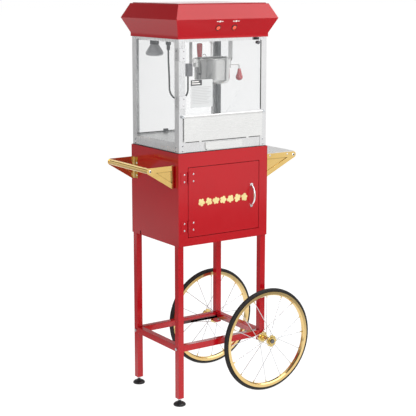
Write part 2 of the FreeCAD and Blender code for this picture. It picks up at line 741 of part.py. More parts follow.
def make_crank():
    """Trunnion ears with their pins, and the bent tilting rod, as one weldment."""
    x, y = kettle_x, kettle_y
    z = kettle_pivot
    pot_body = turned([(0, kettle_low), (kettle_radius - 3.5, kettle_low + 19),
                       (kettle_radius - 1.5, kettle_rim - 4), ((kettle_radius + 0.5, kettle_rim - 2),
                       (kettle_radius - 1.5, kettle_rim)), (0, kettle_rim)], (x, y, 0))
    left_ear = block((-54, x - kettle_radius + 12), (y - 10, y + 10), (z - 30, z + 1.5))
    left_cut = block((-60, -42), (y - 11, y + 11), (z - 40, z - 13))
    left_pin = rod((-54, y, z), (-61.5, y, z), 5.0)
    left = join(left_ear.cut(left_cut).cut(pot_body), left_pin)
    right_ear = block((x + kettle_radius - 12, 129), (y - 10, y + 10), (z - 40, z + 1.5))
    right_pin = rod((129, y, z), (137, y, z), 5.0)
    bend = 12.0
    level = 1340.0
    drop_x = 178.0
    start = Vector(125, y, level)
    turn_in = Vector(drop_x - bend, y, level)
    turn_out = Vector(drop_x, y, level - bend)
    slant = bend * (1 - math.sqrt(0.5))
    elbow = Vector(drop_x - slant, y, level - slant)
    path = Part.Wire([Part.LineSegment(start, turn_in).toShape(),
                      Part.Arc(turn_in, elbow, turn_out).toShape(),
                      Part.LineSegment(turn_out, Vector(drop_x, y, 1322)).toShape()])
    ring = Part.Wire([Part.Circle(start, Vector(1, 0, 0), 3.5).toShape()])
    bar = path.makePipeShell([ring], True, False)
    right = join(right_ear.cut(pot_body), right_pin, bar)
    return left, right


def make_crank_grip():
    profile = [(0, 0), (5.5, 0), ((8, 12), (12, 26)), ((14.5, 38), (9, 46.5)), (4, 48.6), (0, 49)]
    return turned(profile, (178.0, kettle_y, 1322), (0, 0, -1))


def make_agitator():
    """Shaft through the bridge, dog collar on top, two sweeping blades over the pot's floor."""
    x, y = kettle_x, kettle_y
    floor = kettle_low + 17
    shaft = Part.makeCylinder(shaft_radius, 1430 - floor + 6, Vector(x, y, floor - 6))
    collar = Part.makeCylinder(9, 10, Vector(x, y, 1430))
    collar = collar.cut(block((x - 10, x + 10), (y - 1.6, y + 1.6), (1437, 1441)))
    sweep = block((x - 52, x + 52), (y - 2.5, y + 2.5), (floor + 1.5, floor + 9))
    cross = block((x - 2.5, x + 2.5), (y - 34, y + 34), (floor + 14, floor + 20))
    boss = Part.makeCylinder(9, 20, Vector(x, y, floor + 1.5))
    return join(shaft, collar, sweep, cross, boss)


def make_drive_shaft():
    """Output shaft of the gear motor with the upper half of the dog coupling."""
    x, y = kettle_x, kettle_y
    shaft = Part.makeCylinder(shaft_radius, 40, Vector(x, y, 1446))
    collar = Part.makeCylinder(9, 8, Vector(x, y, 1443))
    return join(shaft, collar)


def make_gear_motor():
    """Gearbox on the ceiling plate with the motor on top and its mounting bracket."""
    x, y = kettle_x, kettle_y
    low = case_top + sheet
    gearbox = block((x - 34, x + 34), (y - 27, y + 27), (low + 3, low + 33))
    gearbox = gearbox.cut(Part.makeCylinder(shaft_radius + running_gap, 40, Vector(x, y, low - 1)))
    can = Part.makeCylinder(24, 46, Vector(x, y, low + 33))
    bracket = block((x - 60, x + 60), (y - 20, y + 20), (low, low + 3))
    bracket = bracket.cut(Part.makeCylinder(8, 10, Vector(x, y, low - 2)))
    return join(gearbox, can), bracket


def make_hangers():
    """Steel straps from the ceiling that carry the kettle's trunnions."""
    y = kettle_y
    z = kettle_pivot
    bore = shaft_radius + running_gap
    left = block((-60, -57), (y - 10, y + 10), (1310, case_top))
    left = left.cut(rod((-62, y, z), (-55, y, z), bore))
    left = join(left, block((-60, -36), (y - 10, y + 10), (case_top - 2.5, case_top)))
    plate = block((132, 135), (y - 13, y + 13), (z, case_top))
    round_end = rod((132, y, z), (135, y, z), 13)
    right = join(plate, round_end, block((110, 135), (y - 13, y + 13), (case_top - 2.5, case_top)))
    right = right.cut(rod((130, y, z), (140, y, z), bore))
    return left, right


def make_connector_box():
    y = kettle_y
    return block((-84, -60), (y - 15, y + 15), (1301, 1351))


def make_sockets():
    """Ceiling outlet for the kettle lead, and the lamp holder."""
    outlet = Part.makeCylinder(20, 7, Vector(-120, 40, case_top - 7))
    holder = Part.makeCylinder(18.5, 33, Vector(-135, 120, case_top - 33))
    holder = holder.cut(Part.makeCylinder(13.5, 26, Vector(-135, 120, case_top - 34)))
    return outlet, holder


def make_bulb():
    """Reflector lamp, cap up in the holder and face down."""
    profile = [(0, 0), (24, 1.5), (33, 5), ((36, 11), (34.5, 18)), ((24, 36), (17, 46.5)), (13, 47.5),
               (13, 72), (0, 72)]
    return turned(profile, (-135, 120, 1375))


def make_plug():
    """Stepped plug hanging in the ceiling outlet, strain relief down."""
    profile = [(0, 0), (4.5, 0), (7, 3), (7, 20), (10.5, 22), (10.5, 34), (13, 36), (13, 47), (0, 47)]
    return turned(profile, lead_points[0])


# Route of the kettle lead: out of the plug, down, round and up into the connector box.
lead_points = [
    (-120.0, 40.0, 1402.0),
    (-120.0, 40.0, 1361.0),
    (-118.4, 38.6, 1318.0),
    (-116.8, 38.4, 1275.0),
    (-116.9, 38.9, 1235.0),
    (-105.5, 19.5, 1209.0),
    (-87.6, -10.0, 1207.0),
    (-74.3, -31.1, 1231.0),
    (-73.0, -30.0, 1266.0),
    (-73.0, -30.0, 1301.0),
]


def make_lead():
    """Tube along straight runs joined by tangent arcs."""
    points = [Vector(*point) for point in lead_points]
    edges = []
    here = points[0]
    for before, corner, after in zip(points, points[1:], points[2:]):
        inward = corner - before
        onward = after - corner
        half_turn = inward.getAngle(onward) / 2
        setback = 0.45 * min(inward.Length, onward.Length)
        radius = setback / math.tan(half_turn)
        print("lead bend radius", round(radius, 1), "turn", round(math.degrees(2 * half_turn), 1))
        into = corner - Vector(inward).normalize() * setback
        out = corner + Vector(onward).normalize() * setback
        to_centre = (Vector(onward).normalize() - Vector(inward).normalize()).normalize()
        middle = corner + to_centre * (radius / math.cos(half_turn) - radius)
        edges.append(Part.LineSegment(here, into).toShape())
        edges.append(Part.Arc(into, middle, out).toShape())
        here = out
    edges.append(Part.LineSegment(here, points[-1]).toShape())
    path = Part.Wire(edges)
    ring = Part.Wire([Part.Circle(points[0], points[1] - points[0], lead_radius).toShape()])
    tube = path.makePipeShell([ring], True, False)
    print("lead length", round(path.Length, 1), "volume ratio",
          round(tube.Volume / (math.pi * lead_radius ** 2 * path.Length), 4))
    return tube


# ---- canopy ----
def make_ceiling():
    half_x = canopy_band[0] - sheet
    half_y = canopy_band[1] - sheet
    plate = block((-half_x, half_x), (-half_y, half_y), (case_top, case_top + sheet))
    return plate.cut(Part.makeCylinder(8, 10, Vector(kettle_x, kettle_y, case_top - 4)))


def canopy_solid(inset):
    x, y, low, high = canopy_band
    rings = [rectangle_ring(x - inset, y - inset, low), rectangle_ring(x - inset, y - inset, high),
             rectangle_ring(canopy_ridge[0] - inset, canopy_ridge[1] - inset, canopy_ridge[2]),
             rectangle_ring(canopy_top[0] - inset, canopy_top[1] - inset, canopy_top[2])]
    return loft(rings)


def switch_frame():
    """Outward normal and up-slope direction of the canopy's front lower face."""
    rise = canopy_ridge[2] - canopy_band[3]
    reach = canopy_ridge[1] - canopy_band[1]
    length = math.hypot(rise, reach)
    normal = Vector(0, -rise / length, -reach / length)
    face_y = -canopy_band[1] - reach * (switch_z - canopy_band[3]) / rise
    return normal, face_y


def make_canopy():
    """Folded red shell, open at the bottom and the top, with the two switch holes."""
    shell = canopy_solid(0).cut(canopy_solid(sheet))
    normal, face_y = switch_frame()
    for x in (-switch_x, switch_x):
        spot = Vector(x, face_y, switch_z)
        shell = shell.cut(Part.makeCylinder(10.1, 20, spot - normal * 10, normal))
    gland_hole = rod((-120, canopy_band[1] - 5, gland_z), (-120, canopy_band[1] + 5, gland_z), 5.1)
    return shell.cut(gland_hole)


def make_cover():
    """Shallow top cover lying on the shell's top edge."""
    half_x = canopy_top[0] - 8
    half_y = canopy_top[1] - 8
    low = canopy_top[2]
    lid = block((-half_x, half_x), (-half_y, half_y), (low + 1, cover_top))
    lid = lid.cut(block((-half_x + 1.2, half_x - 1.2), (-half_y + 1.2, half_y - 1.2), (low, cover_top - 1.2)))
    rim = block((-canopy_top[0], canopy_top[0]), (-canopy_top[1], canopy_top[1]), (low, low + 1))
    rim = rim.cut(block((-half_x + 1.2, half_x - 1.2), (-half_y + 1.2, half_y - 1.2), (low - 1, low + 2)))
    return join(lid, rim)


def make_switch_body(x):
    """Round bezel on the slope, its barrel inside the canopy, and the rocker's well."""
    normal, face_y = switch_frame()
    profile = [(0, -22), (10, -22), (10, 0), (12, 0), (12, 1.2), (10.8, 2.4), (9.2, 2.4), (9.2, -7), (0, -7)]
    return turned(profile, (x, face_y, switch_z), tuple(normal))


def make_rocker(x):
    """Round rocker lying pressed at its lower end; it turns about an axis along X."""
    normal, face_y = switch_frame()
    disc = Part.makeCylinder(8.3, 8.5, Vector(0, 0, -5.5))
    dish = Part.makeCylinder(60, 40, Vector(-20, 0, 62.0), Vector(1, 0, 0))
    pin = Part.makeCylinder(1.0, 17.8, Vector(-8.9, 0, -2), Vector(1, 0, 0))
    rocker = join(disc.cut(dish), pin)
    rocker.rotate(Vector(0, 0, -2), Vector(1, 0, 0), 6)
    return aim(rocker, (x, face_y, switch_z), tuple(normal))


def make_gland():
    """Mains cord gland in the back of the canopy band, with its lock nut inside."""
    y = canopy_band[1]
    z = gland_z
    body = rod((-120, y - 12, z), (-120, y, z), 5.0)
    hexagonal = hexagon((-120, y, z), (0, 1, 0), 12, 6)
    dome = turned([(0, 0), (6.5, 0), (6.5, 5), (5.2, 9), (0, 9)], (-120, y + 6, z), (0, 1, 0))
    nut = hexagon((-120, y - sheet, z), (0, -1, 0), 12, 4, 5.0)
    gland = join(body, hexagonal, dome, nut)
    return gland.cut(rod((-120, y - 20, z), (-120, y + 20, z), 3.7))


def main():
    os.makedirs("parts", exist_ok=True)

    legs, rails, rail_bolts = make_stand()
    save("legs", *legs)
    save("lower_rails", *rails)
    save("leg_plugs", *[piece for end in (-1, 1) for piece in make_leg_plug(end)])
    save("wheel_axles", make_axle(-1), make_axle(1))
    save("front_foot", make_foot(-1))
    save("rear_foot", make_foot(1))
    make_wheel(-1, "front")
    make_wheel(1, "rear")

    hinges = [make_butt_hinge(middle) for middle in hinge_heights]
    save("cabinet_panels", *make_cabinet_panels())
    save("cabinet_front_frame", make_front_frame())
    save("cabinet_door", make_cabinet_door())
    save("cabinet_pull", make_pull())
    save("cabinet_hinges", *[fixed for fixed, moving in hinges])
    save("cabinet_door_leaves", *[moving for fixed, moving in hinges])

    brackets, bars, tray, screws = make_side_fittings()
    save("side_brackets", *brackets)
    save("cross_bars", *bars)
    save("shelf_tray", tray)
    save("frame_bolts", *rail_bolts, *screws)

    save("base_rails", *drill_spots(make_base_rails()))
    save("deck_plate", make_deck())
    save("deck_heaters", *make_deck_heaters())
    save("crumb_drawer", make_drawer())
    save("corner_posts", *drill_spots(make_posts()))
    save("top_rails", *drill_spots(make_top_rails()))
    save("fixed_panes", *make_panes())
    save("case_screws", *make_case_screws())
    save("catches", *make_catches())
    glass_hinges = [make_glass_hinge(middle) for middle in glass_hinge_heights]
    save("glass_hinges", *[fixed for fixed, moving in glass_hinges])
    save("glass_door_leaves", *[moving for fixed, moving in glass_hinges])
    save("glass_door", make_glass_door())
    save("glass_door_knob", make_glass_knob())
    save("serving_panel", make_serving_panel())

    save("kettle_pot", *make_pot())
    save("kettle_crank", *make_crank())
    save("crank_grip", make_crank_grip())
    save("front_lid", make_lid(-1))
    save("rear_lid", make_lid(1))
    save("lid_handle", make_lid_handle())
    save("agitator", make_agitator())
    save("drive_shaft", make_drive_shaft())
    save("kettle_hangers", *make_hangers())
    save("connector_box", make_connector_box())
    save("ceiling_sockets", *make_sockets())
    save("lamp_bulb", make_bulb())
    save("kettle_plug", make_plug())
    save("kettle_lead", make_lead())

    save("ceiling_plate", make_ceiling())
    save("gear_motor", *make_gear_motor())
    save("canopy_shell", make_canopy())
    save("canopy_cover", make_cover())
    save("switch_bodies", make_switch_body(-switch_x), make_switch_body(switch_x))
    save("light_rocker", make_rocker(-switch_x))
    save("heat_rocker", make_rocker(switch_x))
    save("cord_gland", make_gland())


main()
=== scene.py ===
import json
import math

import bmesh
import bpy
from mathutils import Matrix, Vector


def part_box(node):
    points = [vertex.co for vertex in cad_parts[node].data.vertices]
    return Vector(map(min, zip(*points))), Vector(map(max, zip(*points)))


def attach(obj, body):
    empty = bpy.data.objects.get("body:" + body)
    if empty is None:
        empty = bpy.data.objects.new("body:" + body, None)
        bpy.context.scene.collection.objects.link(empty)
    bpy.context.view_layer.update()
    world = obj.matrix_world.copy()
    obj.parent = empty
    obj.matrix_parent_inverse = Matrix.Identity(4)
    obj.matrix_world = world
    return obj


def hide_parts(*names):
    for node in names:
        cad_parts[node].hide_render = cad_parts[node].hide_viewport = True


# Popcorn cart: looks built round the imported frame. Metres; +Z up, -Y out of the front.
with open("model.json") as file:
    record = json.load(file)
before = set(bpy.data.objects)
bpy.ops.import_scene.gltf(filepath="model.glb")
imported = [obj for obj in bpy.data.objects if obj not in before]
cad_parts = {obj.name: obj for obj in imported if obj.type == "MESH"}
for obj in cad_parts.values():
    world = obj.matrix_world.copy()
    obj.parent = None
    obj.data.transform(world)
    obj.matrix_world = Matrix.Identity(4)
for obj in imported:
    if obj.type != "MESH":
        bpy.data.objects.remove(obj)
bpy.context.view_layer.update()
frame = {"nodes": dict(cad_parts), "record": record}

MM = 0.001
BODIES = frame["record"]["behaviour"]["bodies"]
JOINTS = {joint["name"]: joint for joint in frame["record"]["behaviour"]["joints"]}


# ---- camera ----
def make_camera():
    """Camera at the left front, a little above the cart, looking down by about ten degrees."""
    azimuth = math.radians(34.06)
    pitch = math.radians(9.73)
    data = bpy.data.cameras.new("camera")
    data.lens = 100.3
    data.sensor_width = 36.0
    data.shift_x = 0.013
    data.shift_y = -0.07
    data.clip_start = 0.05
    camera = bpy.data.objects.new("camera", data)
    bpy.context.scene.collection.objects.link(camera)
    camera.location = (-2.639, -3.874, 1.677)
    camera.rotation_euler = (math.pi / 2 - pitch, 0, -azimuth)
    bpy.context.scene.camera = camera


make_camera()


# ---- materials ----
class Finish:
    """One procedural material: a Principled shader with noise-driven colour, gloss and bump."""

    def __init__(self, name):
        self.material = bpy.data.materials.new(name)
        self.material.use_nodes = True
        self.tree = self.material.node_tree
        self.shader = self.tree.nodes["Principled BSDF"]

    def node(self, kind, **inputs):
        """New node; inputs are given by socket name with spaces as underscores."""
        made = self.tree.nodes.new(kind)
        for name, value in inputs.items():
            made.inputs[name.replace("_", " ")].default_value = value
        return made

    def link(self, source, target):
        self.tree.links.new(source, target)

    def set(self, **inputs):
        for name, value in inputs.items():
            self.shader.inputs[name.replace("_", " ")].default_value = value

    def place(self, stretch=(1, 1, 1)):
        """Object coordinates, stretched per axis."""
        coordinates = self.node("ShaderNodeTexCoord")
        mapping = self.node("ShaderNodeMapping", Scale=stretch)
        self.link(coordinates.outputs["Object"], mapping.inputs["Vector"])
        return mapping.outputs["Vector"]

    def noise(self, scale, detail=3.0, stretch=(1, 1, 1)):
        made = self.node("ShaderNodeTexNoise", Scale=scale, Detail=detail)
        self.link(self.place(stretch), made.inputs["Vector"])
        return made.outputs["Fac"]

    def spread(self, value, low, high, from_low=0.3, from_high=0.7):
        """Map a value between from_low and from_high to one between low and high."""
        made = self.node("ShaderNodeMapRange", From_Min=from_low, From_Max=from_high,
                         To_Min=low, To_Max=high)
        self.link(value, made.inputs["Value"])
        return made.outputs["Result"]

    def mix(self, factor, first, second):
        """Blend two colours; the second may be a constant or another socket."""
        made = self.tree.nodes.new("ShaderNodeMix")
        made.data_type = "RGBA"
        self.link(factor, made.inputs["Factor"])
        made.inputs["A"].default_value = (*first, 1)
        if isinstance(second, tuple):
            made.inputs["B"].default_value = (*second, 1)
        else:
            self.link(second, made.inputs["B"])
        return made.outputs["Result"]

    def painted_crevice_shade(self, colour, dark, distance):
        """Painted shade: darken seams, corners and the edges where parts meet, by ambient occlusion."""
        made = self.node("ShaderNodeAmbientOcclusion", Distance=distance)
        made.samples = 4
        made.only_local = True
        return self.mix(self.spread(made.outputs["AO"], 0, 1, 0.35, 0.85), dark, colour)

    def tone(self, colour, deep, scale, dark=None, distance=0.006):
        """Base colour drifting between two tones, with painted shade at seams and corners if dark is
        given.
        """
        tint = self.mix(self.spread(self.noise(scale, 4.0), 0, 1), colour, deep)
        if dark:
            tint = self.painted_crevice_shade(tint, dark, distance)
        self.link(tint, self.shader.inputs["Base Color"])
        return tint

    def gloss(self, value, low, high):
        self.link(self.spread(value, low, high), self.shader.inputs["Roughness"])

    def bump(self, height, strength, distance=0.0003):
        made = self.node("ShaderNodeBump", Strength=strength, Distance=distance)
        self.link(height, made.inputs["Height"])
        self.link(made.outputs["Normal"], self.shader.inputs["Normal"])


def paint(name, colour, deep, dark):
    """Glossy enamel: slight tone drift, painted shade at seams and corners, faint orange peel, fine rub
    marks in the gloss.
    """
    m = Finish(name)
    m.tone(colour, deep, 3.0, dark, 0.008)
    m.gloss(m.noise(60.0, 6.0, (1, 1, 0.3)), 0.08, 0.16)
    m.bump(m.noise(420.0, 2.0), 0.04)
    m.set(Metallic=0.0, IOR=1.46)
    return m.material


def metal(name, colour, deep, dark, rough, grain=(1, 1, 1), grain_scale=300.0, strength=0.03, size=0.0003,
          metallic=1.0):
    """Metal whose brush marks run along the axis with the smallest grain figure; dark is the painted
    shade at its seams and corners.
    """
    m = Finish(name)
    marks = m.noise(grain_scale, 4.0, grain)
    m.tone(colour, deep, 6.0, dark)
    m.gloss(marks, *rough)
    m.bump(marks, strength, size)
    m.set(Metallic=metallic)
    return m.material


def plastic(name, colour, deep, rough=(0.35, 0.5), grain=900.0, strength=0.12, coat=0.0, specular=0.5):
    """Moulded plastic, rubber, card or print with a fine pebble."""
    m = Finish(name)
    m.tone(colour, deep, 25.0)
    m.gloss(m.noise(70.0, 5.0), *rough)
    m.bump(m.noise(grain, 2.0), strength)
    m.set(Coat_Weight=coat, Coat_Roughness=0.08, Specular_IOR_Level=specular)
    return m.material


def clear_sheet(name):
    """Clear pane with a faint pale haze, almost invisible face on; the haze grows towards grazing views
    as a painted reflection.
    """
    m = Finish(name)
    m.tone((0.78, 0.81, 0.83), (0.72, 0.75, 0.77), 2.5)
    m.gloss(m.noise(30.0, 6.0), 0.015, 0.05)
    facing = m.node("ShaderNodeLayerWeight", Blend=0.35)
    m.link(m.spread(facing.outputs["Facing"], 0.02, 0.30, 0.0, 1.0), m.shader.inputs["Alpha"])
    m.set(Metallic=0.0, IOR=1.5)
    return m.material


def glowing(name, colour, deep, strength):
    """Lit translucent switch plastic."""
    m = Finish(name)
    tint = m.tone(colour, deep, 160.0)
    m.link(tint, m.shader.inputs["Emission Color"])
    m.gloss(m.noise(120.0), 0.15, 0.25)
    m.set(Emission_Strength=strength, Coat_Weight=0.5)
    return m.material


# The third colour of each paint and metal is painted shade, mixed in by ambient occlusion at seams and
# corners.
RED = paint("red_enamel", (0.47, 0.004, 0.010), (0.42, 0.003, 0.008), (0.10, 0.001, 0.002))
GOLD = metal("gold_plate", (0.84, 0.60, 0.24), (0.78, 0.53, 0.18), (0.10, 0.05, 0.01),
             (0.12, 0.22), (1, 1, 1), 22.0, 0.2, 0.002)
RIM_GOLD = metal("rim_gold", (0.82, 0.61, 0.29), (0.74, 0.52, 0.21), (0.12, 0.06, 0.02),
                 (0.10, 0.20), (1, 1, 1), 60.0, 0.01)
BRASS = metal("brass", (0.78, 0.60, 0.24), (0.66, 0.48, 0.17), (0.08, 0.05, 0.01),
              (0.16, 0.28), (1, 1, 1), 120.0, 0.02)
STEEL = metal("brushed_steel", (0.86, 0.86, 0.85), (0.81, 0.81, 0.80), (0.10, 0.09, 0.09),
              (0.24, 0.34), (0.03, 1, 1), 700.0, 0.02, metallic=0.8)
POT_STEEL = metal("pot_steel", (0.66, 0.66, 0.65), (0.54, 0.54, 0.53), (0.06, 0.06, 0.06),
                  (0.14, 0.24), (1, 1, 0.06), 260.0, 0.02)
ALUMINIUM = metal("satin_aluminium", (0.80, 0.80, 0.80), (0.75, 0.75, 0.76), (0.10, 0.10, 0.10),
                  (0.22, 0.34), (1, 1, 0.03), 500.0, 0.02, metallic=0.9)
CHROME = metal("bright_chrome", (0.86, 0.86, 0.87), (0.80, 0.80, 0.81), (0.08, 0.08, 0.08),
               (0.06, 0.13), (1, 1, 1), 40.0, 0.01)
SMOKED = metal("smoked_chrome", (0.20, 0.20, 0.21), (0.13, 0.13, 0.14), (0.02, 0.02, 0.02),
               (0.10, 0.20), (1, 1, 1), 80.0, 0.02)
ZINC = metal("zinc_plate", (0.74, 0.76, 0.78), (0.64, 0.66, 0.69), (0.08, 0.08, 0.08),
             (0.20, 0.34), (1, 1, 1), 260.0, 0.04)
TYRE = plastic("tyre_rubber", (0.012, 0.011, 0.011), (0.018, 0.017, 0.016), (0.42, 0.6), 1400.0, 0.2,
               specular=0.25)
BLACK = plastic("black_plastic", (0.012, 0.012, 0.013), (0.020, 0.020, 0.022), (0.3, 0.45), specular=0.35)
GREY = plastic("grey_plastic", (0.18, 0.18, 0.19), (0.14, 0.14, 0.15), (0.4, 0.55))
WHITE = plastic("white_plastic", (0.84, 0.84, 0.82), (0.78, 0.78, 0.76), (0.2, 0.32), 600.0, 0.04, 0.4)
GRIP = plastic("rose_grip", (0.52, 0.06, 0.07), (0.42, 0.04, 0.05), (0.18, 0.3), 500.0, 0.04, 0.5)
JACKET = plastic("lead_jacket", (0.014, 0.014, 0.015), (0.024, 0.024, 0.026), (0.5, 0.65), 1100.0, 0.15)
LAMP = plastic("lamp_silver", (0.34, 0.34, 0.35), (0.27, 0.27, 0.28), (0.15, 0.3), 200.0, 0.02, 0.6)
MOTOR = plastic("motor_grey", (0.16, 0.165, 0.175), (0.12, 0.125, 0.13), (0.35, 0.5))
HEATER = plastic("heater_silicone", (0.55, 0.16, 0.05), (0.45, 0.12, 0.04), (0.5, 0.65))
CLEAR = clear_sheet("clear_pane")
LIT = glowing("lit_switch", (0.90, 0.09, 0.03), (0.70, 0.04, 0.02), 0.45)
PRINT_GOLD = plastic("printed_gold", (0.84, 0.72, 0.34), (0.76, 0.62, 0.26), (0.25, 0.4), 900.0, 0.03)
PRINT_WHITE = plastic("printed_white", (0.86, 0.85, 0.82), (0.80, 0.79, 0.76), (0.4, 0.5), 900.0, 0.03)
CARD = plastic("card_paper", (0.66, 0.67, 0.67), (0.60, 0.61, 0.61), (0.5, 0.65), 1500.0, 0.1)
RULES = plastic("card_rules", (0.42, 0.42, 0.42), (0.52, 0.52, 0.52), (0.5, 0.6), 1500.0, 0.05)
# Card ink for the printed header; the same dark also paints the shade in the screw and bracket-tip
# recesses.
INK_AND_RECESS_SHADE = plastic("card_ink_and_recess_shade", (0.05, 0.05, 0.055), (0.09, 0.09, 0.095), (0.5, 0.6), 1500.0, 0.05)
# Black rubber for the gaskets and seams; the same dark also paints the shade in the gap under the serving
# panel.
GASKET_AND_GAP_SHADE = plastic("gasket_rubber_and_gap_shade", (0.020, 0.020, 0.020), (0.035, 0.033, 0.032), (0.5, 0.65), 1200.0, 0.15)

FINISH_OF_SLOT = {
    "red_paint": RED, "gold_plate": GOLD, "zinc": ZINC, "chrome": CHROME, "stainless": STEEL,
    "aluminium": ALUMINIUM, "glass": CLEAR, "tyre_rubber": TYRE, "black_plastic": BLACK,
    "grey_plastic": GREY, "white_plastic": WHITE, "red_grip": GRIP, "switch_red": LIT,
    "lead_jacket": JACKET, "lamp_glass": LAMP, "motor_grey": MOTOR, "heater_mat": HEATER,
}
FINISH_OF_NODE = {
    "kettle_pot": POT_STEEL, "front_lid": POT_STEEL, "rear_lid": POT_STEEL, "front_rim": RIM_GOLD,
    "rear_rim": RIM_GOLD, "front_hub": BRASS, "rear_hub": BRASS, "glass_door_knob": SMOKED,
    "wheel_axles": SMOKED, "glass_hinges": CHROME, "glass_door_leaves": CHROME,
}
SLOT_OF_NODE = {part["node"]: part["material_slot"] for part in frame["record"]["subparts"]}
BODY_OF_NODE = {node: body for body, nodes in BODIES.items() for node in nodes}


def finish_of(node):
    return FINISH_OF_NODE.get(node, FINISH_OF_SLOT[SLOT_OF_NODE[node]])


def repaint_frame():
    """Carried-over CAD nodes keep their meshes and take better materials."""
    for node, piece in frame["nodes"].items():
        for place in piece.material_slots:
            place.material = finish_of(node)


repaint_frame()


# ---- mesh helpers ----
def add_piece(name, work, material, body, replaced=(), angle=35.0):
    """Turn a bmesh into a shaded piece that rides on a body."""
    mesh = bpy.data.meshes.new(name)
    work.to_mesh(mesh)
    work.free()
    for polygon in mesh.polygons:
        polygon.use_smooth = True
    mesh.set_sharp_from_angle(angle=math.radians(angle))
    mesh.materials.append(material)
    piece = bpy.data.objects.new(name, mesh)
    bpy.context.scene.collection.objects.link(piece)
    weighted = piece.modifiers.new("even_faces", "WEIGHTED_NORMAL")
    weighted.keep_sharp = True
    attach(piece, body)
    if replaced:
        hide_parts(*replaced)
    return piece


def add_box(work, low, high):
    """Box between two corners."""
    size = Vector(high) - Vector(low)
    middle = (Vector(high) + Vector(low)) / 2
    bmesh.ops.create_cube(work, size=1.0, matrix=Matrix.Translation(middle) @ Matrix.Diagonal((*size, 1)))


def add_disc(work, centre, normal, radius, height, top=1.0, segments=20):
    """Short cylinder or cone standing on centre along normal."""
    turn = Vector(normal).to_track_quat("Z", "Y").to_matrix().to_4x4()
    matrix = Matrix.Translation(Vector(centre) + Vector(normal) * height / 2) @ turn
    bmesh.ops.create_cone(work, cap_ends=True, segments=segments, radius1=radius, radius2=radius * top,
                          depth=height, matrix=matrix)


def add_dome(work, centre, scale):
    """Flattened ball; scale is its half size along X, Y and Z."""
    bmesh.ops.create_uvsphere(work, u_segments=16, v_segments=10, radius=1.0,
                              matrix=Matrix.Translation(centre) @ Matrix.Diagonal((*scale, 1)))


def add_tube(work, points, radius, sides=12):
    """Round wire through the points, closed at both ends."""
    rings = []
    for index, point in enumerate(points):
        before = Vector(points[max(index - 1, 0)])
        after = Vector(points[min(index + 1, len(points) - 1)])
        turn = (after - before).to_track_quat("Z", "Y").to_matrix()
        ring = []
        for side in range(sides):
            angle = 2 * math.pi * side / sides
            offset = turn @ Vector((radius * math.cos(angle), radius * math.sin(angle), 0))
            ring.append(work.verts.new(Vector(point) + offset))
        rings.append(ring)
    for near, far in zip(rings, rings[1:]):
        for side in range(sides):
            across = (side + 1) % sides
            work.faces.new((near[side], near[across], far[across], far[side]))
    work.faces.new(rings[0][::-1])
    work.faces.new(rings[-1])


def shrink(work, depth):
    """Move every face inwards, so that a clear sheet keeps off the metal it lies on."""
    work.normal_update()
    moves = [(vertex, vertex.normal * vertex.calc_shell_factor() * depth) for vertex in work.verts]
    for vertex, move in moves:
        vertex.co -= move


def refine(node, width):
    """The CAD node's shape with rounded edges, standing for that node."""
    work = bmesh.new()
    work.from_mesh(frame["nodes"][node].data)
    bmesh.ops.remove_doubles(work, verts=work.verts, dist=1e-6)
    bmesh.ops.dissolve_limit(work, angle_limit=math.radians(1.0), verts=work.verts, edges=work.edges)
    sharp = [edge for edge in work.edges
             if len(edge.link_faces) == 2 and edge.calc_face_angle(0) > math.radians(40)]
    bmesh.ops.bevel(work, geom=sharp, offset=width, offset_type="OFFSET", segments=2, profile=0.5,
                    affect="EDGES", clamp_overlap=True)
    if finish_of(node) == CLEAR:
        shrink(work, 0.15 * MM)
    return add_piece(node + "_finished", work, finish_of(node), BODY_OF_NODE[node],
                     (node,), 50.0)


# ---- the kettle lead ----
LEAD_DIAMETER = 0.007
LEAD_ROUTE = [
    (-0.1575, 0.0400, 1.4020),
    (-0.1575, 0.0400, 1.3610),
    (-0.1559, 0.0386, 1.3180),
    (-0.1543, 0.0384, 1.2750),
    (-0.1544, 0.0389, 1.2350),
    (-0.1430, 0.0195, 1.2090),
    (-0.1251, -0.0100, 1.2070),
    (-0.1118, -0.0311, 1.2310),
    (-0.1105, -0.0300, 1.2660),
    (-0.1105, -0.0300, 1.3010),
]


def make_lead():
    """The kettle lead on one smooth spline."""
    curve = bpy.data.curves.new("lead", "CURVE")
    curve.dimensions = "3D"
    curve.bevel_depth = LEAD_DIAMETER / 2
    curve.bevel_resolution = 5
    curve.resolution_u = 16
    curve.use_fill_caps = True
    spline = curve.splines.new("NURBS")
    spline.points.add(len(LEAD_ROUTE) - 1)
    for point, place in zip(spline.points, LEAD_ROUTE):
        point.co = (*place, 1)
    spline.order_u = 3
    spline.use_endpoint_u = True
    curve.materials.append(JACKET)
    piece = bpy.data.objects.new("lead", curve)
    bpy.context.scene.collection.objects.link(piece)
    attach(piece, "cart")
    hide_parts("kettle_lead")


make_lead()


# ---- rounded edges on the sheet-metal and tube pieces; the radius of each in millimetres ----
EDGE_RADII = {
    "legs": 1.6, "lower_rails": 1.6, "cabinet_front_frame": 0.4, "cabinet_door": 0.9,
    "cabinet_hinges": 0.4, "cabinet_door_leaves": 0.4, "side_brackets": 1.3, "shelf_tray": 0.4,
    "corner_posts": 0.6, "base_rails": 0.3, "top_rails": 0.4, "canopy_shell": 0.5, "canopy_cover": 0.4,
    "serving_panel": 0.3, "crumb_drawer": 0.3, "deck_plate": 0.2, "connector_box": 1.5, "glass_door": 0.5,
    "kettle_hangers": 0.4, "catches": 0.6, "wheel_axles": 0.4, "leg_plugs": 0.4, "gear_motor": 1.0,
    "glass_hinges": 0.2, "glass_door_leaves": 0.2, "ceiling_plate": 0.3, "fixed_panes": 0.4,
}

for cad_node, edge_radius in EDGE_RADII.items():
    refine(cad_node, edge_radius * MM)


# ---- wheels ----
def wheel_point(centre, end, radius, angle, along):
    """Point of a wheel from its radius, its angle and its distance outwards along the axle."""
    return Vector((centre.x + radius * math.cos(angle), centre.y + end * along,
                   centre.z - end * radius * math.sin(angle)))


